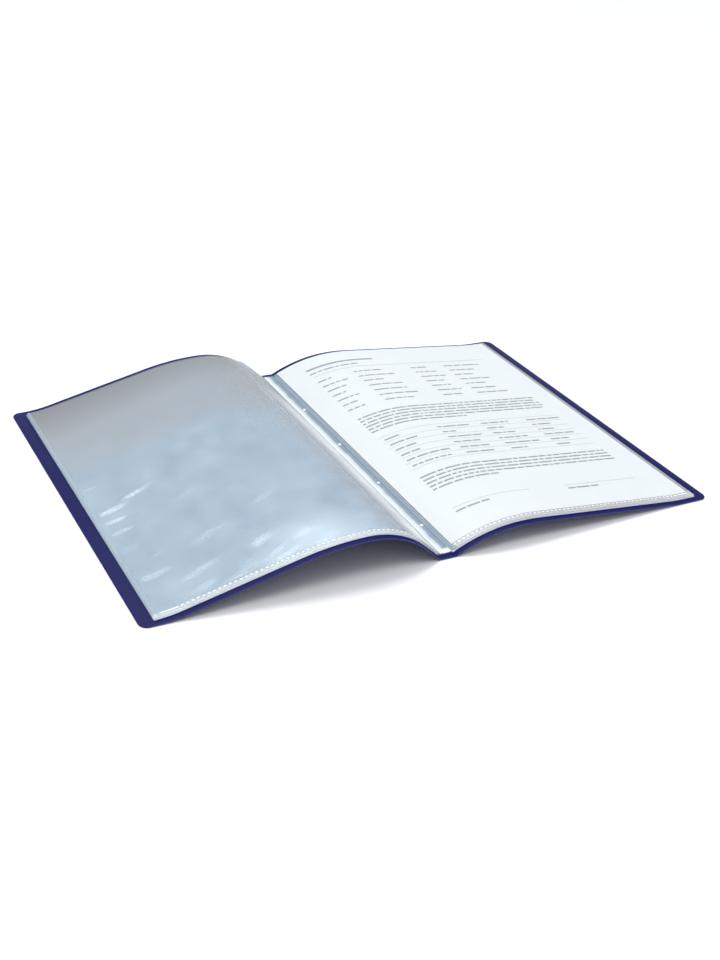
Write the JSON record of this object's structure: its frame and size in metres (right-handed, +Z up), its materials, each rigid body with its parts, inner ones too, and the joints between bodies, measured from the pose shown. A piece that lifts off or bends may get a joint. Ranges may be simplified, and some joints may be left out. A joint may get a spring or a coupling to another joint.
{
  "type": "clear pocket display book",
  "caption": "Open A4 display book: scored plastic cover with a narrow spine, clear welded pockets that turn like pages, and a paper sheet that slides out of one pocket.",
  "frame": {"origin": "middle of the spine's underside, on the table that the open book lies on", "axes": "+X across the spread towards the back cover, +Y along the spine towards the pockets' open top, +Z up"},
  "size_m": [0.4483, 0.315, 0.0309],
  "materials": {
    "cover_plastic": "violet-blue polypropylene sheet with a fine satin grain",
    "clear_film": "clear, slightly hazy polypropylene film",
    "welded_film": "whitish heat-welded film",
    "weld": "melted film, milky",
    "paper": "white office paper with grey print"
  },
  "bodies": {
    "spine": {"spine_panel": "cover_plastic", "binding_strip_1": "welded_film", "binding_strip_2": "welded_film", "binding_strip_3": "welded_film", "binding_strip_4": "welded_film", "binding_strip_5": "welded_film", "spot_welds": "weld"},
    "front_cover": {"front_cover": "cover_plastic"},
    "back_cover": {"back_cover": "cover_plastic"},
    "pocket_01": {"pocket_01_lower_film": "clear_film", "pocket_01_seam": "welded_film", "pocket_01_upper_film": "clear_film"},
    "pocket_02": {"pocket_02_lower_film": "clear_film", "pocket_02_seam": "welded_film", "pocket_02_upper_film": "clear_film"},
    "pocket_03": {"pocket_03_lower_film": "clear_film", "pocket_03_seam": "welded_film", "pocket_03_upper_film": "clear_film"},
    "pocket_04": {"pocket_04_lower_film": "clear_film", "pocket_04_seam": "welded_film", "pocket_04_upper_film": "clear_film"},
    "pocket_05": {"pocket_05_lower_film": "clear_film", "pocket_05_seam": "welded_film", "pocket_05_upper_film": "clear_film"},
    "pocket_06": {"pocket_06_lower_film": "clear_film", "pocket_06_seam": "welded_film", "pocket_06_upper_film": "clear_film"},
    "pocket_07": {"pocket_07_lower_film": "clear_film", "pocket_07_seam": "welded_film", "pocket_07_upper_film": "clear_film"},
    "pocket_08": {"pocket_08_lower_film": "clear_film", "pocket_08_seam": "welded_film", "pocket_08_upper_film": "clear_film"},
    "pocket_09": {"pocket_09_lower_film": "clear_film", "pocket_09_seam": "welded_film", "pocket_09_upper_film": "clear_film"},
    "pocket_10": {"pocket_10_lower_film": "clear_film", "pocket_10_seam": "welded_film", "pocket_10_upper_film": "clear_film"},
    "document": {"document_sheet": "paper"}
  },
  "joints": [
    {"name": "front_cover_hinge", "type": "hinge", "parent": "spine", "child": "front_cover", "pos_m": [-0.0063, 0, 0.0004], "axis": [0, 1, 0], "range_deg": [-25, 55]},
    {"name": "back_cover_hinge", "type": "hinge", "parent": "spine", "child": "back_cover", "pos_m": [0.0063, 0, 0.0004], "axis": [0, -1, 0], "range_deg": [-25, 55]},
    {"name": "pocket_01_turn", "type": "hinge", "parent": "spine", "child": "pocket_01", "pos_m": [-0.00567, 0, 0.0011], "axis": [0, 1, 0], "range_deg": [-25, 55]},
    {"name": "pocket_02_turn", "type": "hinge", "parent": "spine", "child": "pocket_02", "pos_m": [-0.0054, 0, 0.0014], "axis": [0, 1, 0], "range_deg": [-25, 55]},
    {"name": "pocket_03_turn", "type": "hinge", "parent": "spine", "child": "pocket_03", "pos_m": [-0.00514, 0, 0.00169], "axis": [0, 1, 0], "range_deg": [-25, 55]},
    {"name": "pocket_04_turn", "type": "hinge", "parent": "spine", "child": "pocket_04", "pos_m": [-0.00487, 0, 0.00199], "axis": [0, 1, 0], "range_deg": [-25, 55]},
    {"name": "pocket_10_turn", "type": "hinge", "parent": "spine", "child": "pocket_10", "pos_m": [0.00586, 0, 0.00123], "axis": [0, -1, 0], "range_deg": [-25, 55]},
    {"name": "pocket_09_turn", "type": "hinge", "parent": "spine", "child": "pocket_09", "pos_m": [0.00567, 0, 0.00158], "axis": [0, -1, 0], "range_deg": [-25, 55]},
    {"name": "pocket_08_turn", "type": "hinge", "parent": "spine", "child": "pocket_08", "pos_m": [0.00548, 0, 0.00194], "axis": [0, -1, 0], "range_deg": [-25, 55]},
    {"name": "pocket_07_turn", "type": "hinge", "parent": "spine", "child": "pocket_07", "pos_m": [0.0053, 0, 0.00229], "axis": [0, -1, 0], "range_deg": [-25, 55]},
    {"name": "pocket_05_turn", "type": "hinge", "parent": "pocket_04", "child": "pocket_05", "pos_m": [-0.0046, 0, 0.00229], "axis": [0, -1, 0], "range_deg": [-90, 0]},
    {"name": "pocket_06_turn", "type": "hinge", "parent": "pocket_07", "child": "pocket_06", "pos_m": [0.00502, 0, 0.0028], "axis": [0, 1, 0], "range_deg": [-90, 0]},
    {"name": "document_slide", "type": "slide", "parent": "pocket_06", "child": "document", "axis": [0, 1, 0], "range_m": [0, 0.3]}
  ],
  "couplings": [
    {"joint": "pocket_01_turn", "follows": "front_cover_hinge", "ratio": 1},
    {"joint": "pocket_02_turn", "follows": "front_cover_hinge", "ratio": 1},
    {"joint": "pocket_03_turn", "follows": "front_cover_hinge", "ratio": 1},
    {"joint": "pocket_04_turn", "follows": "front_cover_hinge", "ratio": 1},
    {"joint": "pocket_10_turn", "follows": "back_cover_hinge", "ratio": 1},
    {"joint": "pocket_09_turn", "follows": "back_cover_hinge", "ratio": 1},
    {"joint": "pocket_08_turn", "follows": "back_cover_hinge", "ratio": 1},
    {"joint": "pocket_07_turn", "follows": "back_cover_hinge", "ratio": 1}
  ]
}
